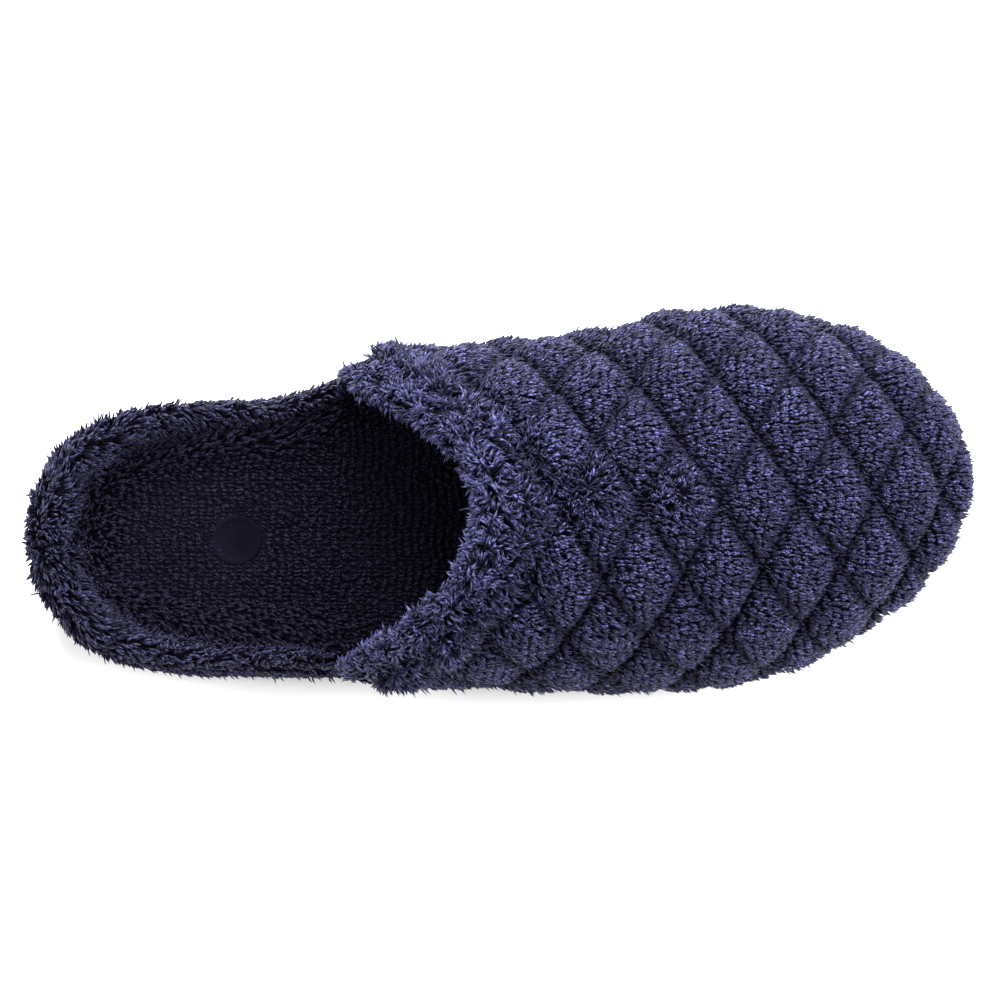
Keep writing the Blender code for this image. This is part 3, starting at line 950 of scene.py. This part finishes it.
@dataclass
class Upper(PlushPart):
    """Quilted upper: a padded shell with pile outside and a bare lining."""

    pile: Pile = Pile(1.95, 2.3, 0.72, (2.5, 1.1), 0.35, 0.85, 0.9, 0.1, 0.12, 0.1, skew=2.2)
    seed: int = 11
    steps_long: int = 130
    steps_round: int = 150
    start: float = FORM.band_width + FORM.gap
    quilt_depth: float = 4.6
    quilt_shape: float = 0.46
    quilt_fade: float = 9.0
    foot_tuck: float = 0.3
    stitch_room: float = 0.6
    bare: float = 1.3
    # Reach of the painted shade that darkens the locks along each stitch groove.
    groove_shade: float = 3.2
    fluff_reach: float = 22.0
    ball: float = 62.0
    overhang: float = 0.1
    ruffle_stray: float = 3.6
    fluff_stray: float = 3.2
    patch_size: float = 4.0
    ahead_start: float = 0.72
    ahead_span: float = 0.24

    def quilting(self, run: Array, around: Array) -> tuple[Array, Array, Array]:
        """Diamonds of the quilting.

        Args:
            run: Lengths of cloth along the ridge.
            around: Lengths of cloth round the section.

        Returns:
            Fullness of the puffs, 0 on a stitch line, the distance from the nearest stitch line, and how
            near the one ahead is.
        """
        puff, away, ahead = np.ones_like(run), np.full_like(run, np.inf), np.zeros_like(run)
        for row in QUILT:
            turns = (run + row.slant * around - row.first) / row.repeat
            puff = puff * np.abs(np.sin(PI * turns))
            share = turns - np.floor(turns)
            pitch = row.repeat / math.hypot(1.0, row.slant)
            away = np.minimum(away, np.minimum(share, 1.0 - share) * pitch)
            ahead = np.maximum(ahead, ease((share - self.ahead_start) / self.ahead_span))
        return puff**self.quilt_shape, away, ahead

    def outside(self) -> ClothFace:
        """Outer face of the cloth, with the nap and pile that quilting, throat and ruffles give it, and the
        shade painted on its locks in the grooves, ruffles and fluff.
        """
        angle, theta, run = FORM.upper_grid(self.steps_long, self.steps_round, self.start)
        skin, around = FORM.upper_skin(angle, theta), FORM.girth(angle, theta)
        puff, away, ahead = self.quilting(run, around)
        tuck = self.foot_tuck * FORM.foot_tuck(skin)
        low = tuck / (self.foot_tuck * FORM.foot_tuck_depth)
        from_band = ease((run - run[0]) / self.quilt_fade)
        fall = self.quilt_depth * (1.0 - puff) * (0.3 + 0.7 * from_band) * (1.0 - 0.75 * low)
        sunk = tuck + fall + self.stitch_room - self.stitch_room * puff
        fluff = (1.0 - ease((run - run[0]) / self.fluff_reach)) * (1.0 - 0.8 * low)
        nap = np.zeros(skin.shape)
        nap[..., 0] = (1.0 + self.overhang * ahead) * (1.0 - 0.6 * fluff)
        nap[..., 2] = -0.1
        stray = np.ones(run.shape)
        for row in RUFFLES:
            out = skin[..., :2] - (row.x, row.y)
            share = row.amount * ease(1.0 - np.linalg.norm(out, axis=2, keepdims=True) / row.reach)
            nap[..., :2] += share * (0.9 * unit(out) - 0.8 * nap[..., :2])
            stray = stray + self.ruffle_stray * share[..., 0]
        uneven = patches(skin, self.patch_size)
        crease = (0.25 + 0.75 * from_band) * (1.0 - 0.4 * low) * np.clip(0.95 + 0.5 * uneven, 0.5, 1.3)
        # Bare thins the pile near the stitch lines; the second value is painted shade, darkening the locks
        # there.
        bare, groove_shade = (1.0 - ease(away / self.bare)) * crease, (1.0 - ease(away / self.groove_shade)) * crease
        return ClothFace(
            skin - FORM.upper_normals(angle, theta) * sunk[..., None],
            nap=nap,
            long=(1.0 - 0.45 * bare + 0.1 * ahead) * (1.0 + fluff * (0.5 * (1.0 - groove_shade) + 0.5 * uneven)),
            thick=1.0 + 0.3 * fluff,
            close=1.0 - 0.7 * bare,
            stray=stray + self.fluff_stray * fluff,
            # Painted shade: locks darker by the stitch grooves and where ruffled, and in the fluff by the
            # throat the shorter locks darker and the whole zone a little darker.
            pale=0.07 - 0.6 * groove_shade - 0.03 * stray + fluff * (0.6 * uneven - 0.12),
            run=run,
            around=around,
        )

    def build(self) -> None:
        """Makes the shell: outer face, coarser lining, and the seams along throat and feet."""
        outer = self.outside().points
        angle, theta, _ = FORM.upper_grid(self.steps_long // 2, self.steps_round // 2, self.start)
        inner = FORM.upper_skin(angle, theta) - FORM.upper_normals(angle, theta) * WALL
        points, faces, edges = [], [], []
        for grid, turn in ((outer, 1), (inner, -1)):
            base, rows, columns = len(points), grid.shape[0] - 1, grid.shape[1]
            points += [*grid[:-1].reshape(-1, 3), grid[-1, 0]]
            tip = base + rows * columns
            for i in range(rows - 1):
                for j in range(columns - 1):
                    a = base + i * columns + j
                    faces.append((a, a + columns, a + columns + 1, a + 1)[::turn])
            for a in range(tip - columns, tip - 1):
                faces.append((a, tip, a + 1)[::turn])
            throat = list(range(base, base + columns))
            feet = [[base + i * columns + j for i in range(rows)] + [tip] for j in (0, columns - 1)]
            edges.append((throat, feet[0][::-1], feet[1]))
        for fine, coarse in zip(*edges):
            for i in range(len(coarse) - 1):
                faces.append((*fine[2 * i : 2 * i + 3], coarse[i + 1], coarse[i]))
        seat(cloth_object("upper_cloth", np.array(points), faces, NAVY_SHADED_GROUND), "upper")

    def dress(self) -> None:
        """Grows the pile in four pieces, behind and ahead of the ball on each side of the ridge."""
        bed = self.outside().sow(self.pile, self.seed)
        plush = VAMP_PLUSH.material()
        x, inner, outer = FORM.plan(np.linspace(0.0, PI, 200))
        ridge = np.interp(bed.roots[:, 0], x, FORM.ridge(inner, outer))
        for side in Foot:
            for end in ("instep", "toe"):
                chosen = (bed.roots[:, 1] > ridge) == (side is Foot.INNER)
                chosen &= (bed.roots[:, 0] > self.ball) == (end == "toe")
                self.plush(f"upper_pile_{side.value}_{end}", bed.part(chosen), plush, "upper")


@dataclass
class ThroatBand(PlushPart):
    """Plush band along the throat, with a rounded lip and long ruffled pile."""

    pile: Pile = Pile(1.8, 3.8, 0.9, (2.4, 2.0), 0.1, 0.35, 2.2, 0.5, 0.28, 1.0, 6.0, 3, 0.3, 0.22)
    seed: int = 23
    steps: int = 150
    proud: float = 0.6
    lip: float = 0.4
    room: float = 1.5
    patch_size: float = 3.5

    def loops(self) -> Array:
        """Rows of points along the throat, each from the upper's edge over the lip to the lining."""
        middle, half, room = 0.5 * (WALL - self.proud), 0.5 * (WALL + self.proud), self.room
        outside, inside = middle - half + room, WALL - 0.3 * room
        profile = [(1.0, outside), (0.65, outside)]
        for turn in np.linspace(-PI / 2, PI / 2, 9):
            depth = middle + 0.25 * room + (half - 0.6 * room) * math.sin(turn)
            profile.append((room / FORM.band_width + self.lip * (1.0 - math.cos(turn)), depth))
        rows = []
        for share, depth in [*profile, (0.65, inside), (1.0, inside)]:
            angle, theta, _ = FORM.upper_grid(1, self.steps, share * FORM.band_width)
            skin = FORM.upper_skin(angle[0], theta[0])
            sunk = np.maximum(depth, FORM.foot_tuck(skin) - self.proud)
            rows.append(skin - FORM.upper_normals(angle[0], theta[0]) * sunk[:, None])
        return np.stack(rows, axis=1)

    def build(self) -> None:
        """Makes the band as a closed roll."""
        piece = capped_tube("throat_band_cloth", self.loops(), NAVY_SHADED_GROUND, strips=False)
        seat(piece, "throat_band")

    def dress(self) -> None:
        """Grows the band's pile, which falls over the lip into the throat."""
        loops = self.loops()
        place = np.arange(loops.shape[1])
        over = ease((place - 0.5) / 3.0)[:, None]
        inside, turn = ease((place - 5.0) / 5.0), np.exp(-(((place - 2.5) / 1.6) ** 2))
        uneven = patches(loops, self.patch_size)
        theta = np.linspace(0.0, PI, loops.shape[0])
        ends = 0.35 + 0.65 * ease(np.minimum(theta, PI - theta) / 0.7)
        face = ClothFace(
            loops,
            nap=unit(np.gradient(loops, axis=1)) * 0.5 * over + np.array((0.7, 0.0, 0.0)) * (1.0 - over),
            long=ends[:, None] * (1.0 - 0.6 * inside + 0.5 * uneven),
            close=1.0 + 0.8 * turn - 0.3 * inside,
            # Painted shade: locks inside the throat darker, and the shorter locks of the uneven patches
            # darker than the tall ones.
            pale=0.12 - 0.3 * inside + 0.5 * uneven,
        )
        self.plush("throat_band_pile", face.sow(self.pile, self.seed), BAND_PLUSH.material(), "throat_band")


@dataclass
class HeelRim(PlushPart):
    """Plush rim round the heel that slopes down to the insole and runs low along both sides."""

    pile: Pile = Pile(1.35, 4.6, 0.8, (2.2, 1.7), 0.25, 0.7, 1.4, 0.3, 0.2, 0.55, 8.0, 3, 0.4)
    seed: int = 31
    steps: int = 150
    foot_tuck: float = 1.6
    shoulder: float = 0.55
    crest: float = 0.4
    rise_edge: float = 0.8
    room_heel: float = 3.6
    room_side: float = 1.0

    def surface(self) -> tuple[Array, Array, Array]:
        """Loops of the rim along its way, their outward directions in plan and their shares of the heel."""
        front = float(FORM.station(FORM.along_of(FORM.throat_end - FORM.gap)))
        step = np.linspace(-1.0, 1.0, self.steps + 1)
        x, inner, outer = FORM.plan(front * np.abs(step))
        path = np.column_stack([x, np.where(step < 0.0, inner, outer)])
        normal = outward(np.gradient(path[::-1], axis=0))[::-1]
        heel = FORM.rim_share(x)
        room = self.room_side + (self.room_heel - self.room_side) * heel
        foot, top = FORM.platform_top(x) + FORM.gap, FORM.rim_top(x) - room
        face, lining = FORM.inset_of("rim", x) + 0.85 * room, FORM.inset_of("lining", x) + 0.6 * heel
        shoulder = foot + self.shoulder * (top - foot)
        profile = [(face + self.foot_tuck, foot), (face + 0.25 * self.foot_tuck, 0.5 * (foot + shoulder))]
        crest, edge = face + self.crest * (lining - face), FORM.insole_top(x) + self.rise_edge - 0.5 * room
        for turn in np.linspace(0.0, PI / 2, 5):
            across = crest - (crest - face) * math.cos(turn)
            profile.append((across, shoulder + (top - shoulder) * math.sin(turn)))
        for share in np.linspace(1.0 / 7.0, 1.0, 7):
            down = 0.5 - 0.5 * math.cos(PI * share)
            profile.append((crest + share * (lining - crest), top + down * (edge - top)))
        profile.append((lining, foot))
        loops = [np.column_stack([path - normal * inset[:, None], height]) for inset, height in profile]
        return np.stack(loops, axis=1), normal, heel

    def build(self) -> None:
        """Makes the rim, closed at both ends."""
        piece = capped_tube("heel_rim_cloth", self.surface()[0], NAVY_SHADED_GROUND, strips=False)
        seat(piece, "heel_rim")

    def dress(self) -> None:
        """Grows the rim's pile, longest round the heel, combed forward on both sides of it."""
        loops, outward, heel = self.surface()
        side = np.abs(outward[:, 1])
        ahead = np.column_stack([side, -outward[:, 0] * np.sign(outward[:, 1])]) * ease(side / 0.5)[:, None]
        nap = np.full(loops.shape, 0.2)
        nap[..., :2] = (0.9 * ahead - 0.3 * outward)[:, None]
        place = np.arange(loops.shape[1])
        inside, outside = ease((place - 6.0) / 7.0), ease((5.0 - place) / 3.0)
        face = ClothFace(
            loops,
            nap=nap,
            long=(0.62 + 0.38 * heel)[:, None] * (1.0 - 0.3 * inside - 0.3 * outside),
            thick=1.0 - 0.2 * inside,
            # Painted shade: locks on the inner slope, down to the insole, darker.
            pale=0.05 - 0.5 * inside,
        )
        self.plush("heel_rim_pile", face.sow(self.pile, self.seed), RIM_PLUSH.material(), "heel_rim")


@dataclass
class Platform(PlushPart):
    """Foam platform wrapped in terry, with short pile on its side."""

    pile: Pile = Pile(1.15, 2.2, 0.86, gather=0.25, lean=0.6, skew=2.2)
    seed: int = 41
    stations: int = 110
    edge: float = 2.5
    room: float = 1.3

    def rings(self) -> list:
        """Rings of the slab from its underside to its top."""
        soft, low, top = 0.3 * self.edge, FORM.platform_bottom, FORM.platform_top
        shape = (
            (self.edge, low, 0.0), (soft, low, soft), (0.0, low, self.edge),
            (0.0, top, -self.edge), (soft, top, -soft), (self.edge, top, 0.0),
        )
        return [FORM.ring("platform", self.room + inset, *height, self.stations) for inset, *height in shape]

    def build(self) -> None:
        """Makes the slab."""
        piece = capped_tube("platform_cloth", np.stack(self.rings()), NAVY_SIDE, strips=True)
        seat(piece, "platform")

    def dress(self) -> None:
        """Grows the pile of the side."""
        rings = np.stack(self.rings()[1:5], axis=1)
        face = ClothFace(np.concatenate([rings, rings[:1]], axis=0), flip=True)
        self.plush("platform_pile", face.sow(self.pile, self.seed), VAMP_PLUSH.material(), "platform")


@dataclass
class Insole(PlushPart):
    """Padded insole with flattened terry and a plain round pressed into its heel."""

    pile: Pile = Pile(1.35, 2.0, 0.78, (2.3, 1.15), 0.5, 1.0, 0.9, 0.14, 0.12, 0.2, tone=0.22)
    seed: int = 53
    stations: int = 110
    rows: int = 220
    columns: int = 71
    clearance: float = 0.8
    edge: float = 1.6
    dish: float = 1.2
    slope: float = 11.0
    room: float = 1.1
    spot: tuple[float, float] = (-74.7, -12.5)
    spot_radius: float = 7.7
    turn: float = -92.0
    press_reach: float = 4.0
    fluff_reach: float = 15.0
    nap_reach: float = 12.0
    bare_from: float = 8.0
    bare_share: float = 0.25

    def build(self) -> None:
        """Makes the slab, and the plain round with a soft ridge near its edge."""
        top = FORM.insole_top
        shape = (
            (0.0, FORM.platform_top, FORM.gap),
            (0.0, top, -self.room - self.edge),
            (0.4 * self.edge, top, -self.room - 0.3 * self.edge),
            (1.5 * self.edge, top, -self.room),
            (self.slope, top, -self.room - self.dish),
        )
        rings = [FORM.ring("lining", self.clearance + i, *height, self.stations) for i, *height in shape]
        piece = capped_tube("insole_cloth", np.stack(rings), NAVY_LINING, strips=True)
        seat(piece, "insole")
        turn = np.linspace(0.0, 2.0 * PI, 64, endpoint=False)
        rings = []
        for share, rise in ((0.96, -0.6), (1.0, -0.3), (0.92, 0.3), (0.82, 0.55), (0.7, 0.0), (0.6, -0.05)):
            x = self.spot[0] - share * self.spot_radius * np.cos(turn)
            y = self.spot[1] + share * self.spot_radius * np.sin(turn)
            rings.append(np.column_stack([x, y, top(x) - self.room - self.dish + rise]))
        seat(capped_tube("insole_round", np.stack(rings), NAVY_LINING, strips=True))

    def sides(self) -> tuple[Array, Array, Array]:
        """X of the rows of terry, and Y of their outer and inner ends."""
        steps = 400
        ring = FORM.ring("lining", self.clearance - 0.6, FORM.insole_top, 0.0, steps)
        x = np.linspace(ring[:, 0].min() + 0.3, ring[:, 0].max() - 0.3, self.rows)
        ends = []
        for side in (np.vstack([ring[:1], ring[: steps - 1 : -1]]), ring[: steps + 1]):
            order = np.argsort(side[:, 0])
            ends.append(np.interp(x, side[order, 0], side[order, 1])[:, None])
        return x, *ends

    def dress(self) -> None:
        """Grows the terry in even rows, close behind the throat and thinner under the upper."""
        x, outer, inner = self.sides()
        y = outer + (inner - outer) * np.linspace(0.0, 1.0, self.columns)
        place = np.broadcast_to(x[:, None], y.shape)
        edge = np.minimum(y - outer, inner - y)
        edge = np.minimum(edge, np.minimum(place - x[0], x[-1] - place))
        fall = self.dish * ease((edge - 1.5 * self.edge) / self.slope)
        away = self.spot_radius - np.hypot(place - self.spot[0], y - self.spot[1])
        press = ease((away + self.press_reach) / self.press_reach)
        near = (1.0 - ease(edge / self.fluff_reach)) * ease((-20.0 - place) / 40.0)
        nap = np.zeros((*y.shape, 3))
        nap[..., 0] = 1.0
        out = np.stack([place - np.maximum(place, self.turn), y - self.spot[1]], axis=2)
        nap[..., :2] += 0.7 * ((1.0 - ease(edge / self.nap_reach)) * (place < 0.0))[..., None] * unit(out)
        face = ClothFace(
            np.stack([place, y, FORM.insole_top(place) - self.room - fall], axis=2),
            nap=nap,
            long=1.0 - 0.45 * press + 0.9 * near,
            thick=1.0 + 0.2 * near,
            close=np.where(place < self.bare_from, (1.0 + 0.4 * press) * (away < 0.9), self.bare_share),
            stray=1.0 + 1.2 * near,
            pale=0.4 * near - 0.1 * press,
            run=place,
            around=y,
        )
        self.plush("insole_pile", face.sow(self.pile, self.seed), FOOTBED_SHADED_PLUSH.material(), "insole")


@dataclass
class Outsole:
    """Rubber sole, shown as its solid."""

    node: Object

    def dress(self) -> None:
        """Gives the solid its rubber."""
        self.node.data.materials.clear()
        self.node.data.materials.append(NAVY_RUBBER.material())
        LOG.info("outsole: rubber")


@dataclass
class Studio:
    """White floor, soft light and the camera above the slipper."""

    aim: Place = (2.03, -0.35, 22.0)
    elevation: float = 85.0
    distance: float = 1300.0
    lens: float = 163.8
    sensor: float = 36.0
    fill: float = 0.58
    floor_half: float = 6.0
    floor_drop: float = 0.0003
    floor_white: float = 0.85

    def build(self) -> None:
        """Makes floor, lights and camera."""
        self.floor()
        self.light("key_light", (1000.0, 0.0, 800.0), 700.0, 26.0)
        self.light("back_light", (-1000.0, 0.0, 800.0), 700.0, 12.0)
        self.light("side_light", (-50.0, 1050.0, 750.0), 800.0, 53.0)
        self.light("top_light", (-100.0, 0.0, 1500.0), 1100.0, 4.0)
        world = bpy.data.worlds.new("studio")
        bpy.context.scene.world = world
        world.use_nodes = True
        sky = {"Color": (1.0, 1.0, 1.0, 1.0), "Strength": self.fill}
        NodeNet(world.node_tree).feed(world.node_tree.nodes["Background"], sky)
        bpy.context.scene.view_settings.view_transform = "Standard"
        self.camera()

    def floor(self) -> None:
        """Lays a pale floor under the sole."""
        mesh = bpy.data.meshes.new("floor")
        ends = (-self.floor_half, self.floor_half)
        corners = [(x, y, -self.floor_drop) for x in ends for y in ends]
        mesh.from_pydata(corners, [], [(0, 2, 3, 1)])
        material, shader, net = shaded("pale_floor")
        net.feed(shader, {"Base Color": (*[self.floor_white] * 3, 1.0), "Roughness": 0.9})
        mesh.materials.append(material)
        hung("floor", mesh)

    def light(self, name: str, place: Place, size: float, power: float) -> None:
        """Hangs a square soft light that faces the slipper.

        Args:
            name: Its name.
            place: Where it hangs.
            size: Its side.
            power: Its power in watts.
        """
        lamp = bpy.data.lights.new(name, "AREA")
        lamp.size = size * MM
        lamp.energy = power
        holder = hung(name, lamp)
        holder.location = Vector(place) * MM
        holder.rotation_euler = (Vector(self.aim) * MM - holder.location).to_track_quat("-Z", "Y").to_euler()

    def camera(self) -> None:
        """Hangs the camera almost straight above."""
        lens = bpy.data.cameras.new("camera")
        lens.lens, lens.sensor_width = self.lens, self.sensor
        holder = hung("camera", lens)
        tilt = math.radians(self.elevation)
        back = Vector((0.0, -math.cos(tilt), math.sin(tilt)))
        holder.location = (Vector(self.aim) + back * self.distance) * MM
        holder.rotation_euler = (-back).to_track_quat("-Z", "Y").to_euler()
        bpy.context.scene.camera = holder


def main() -> None:
    """Loads the frame, builds and dresses each piece in turn, and lights them."""
    logging.basicConfig(level=logging.INFO, format="%(name)s %(message)s")
    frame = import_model()
    locks = PileTree()
    Outsole(frame["nodes"]["outsole"]).dress()
    for part in (Platform(locks), Insole(locks), HeelRim(locks), Upper(locks), ThroatBand(locks)):
        part.build()
        part.dress()
    Studio().build()


if __name__ == "__main__":
    main()
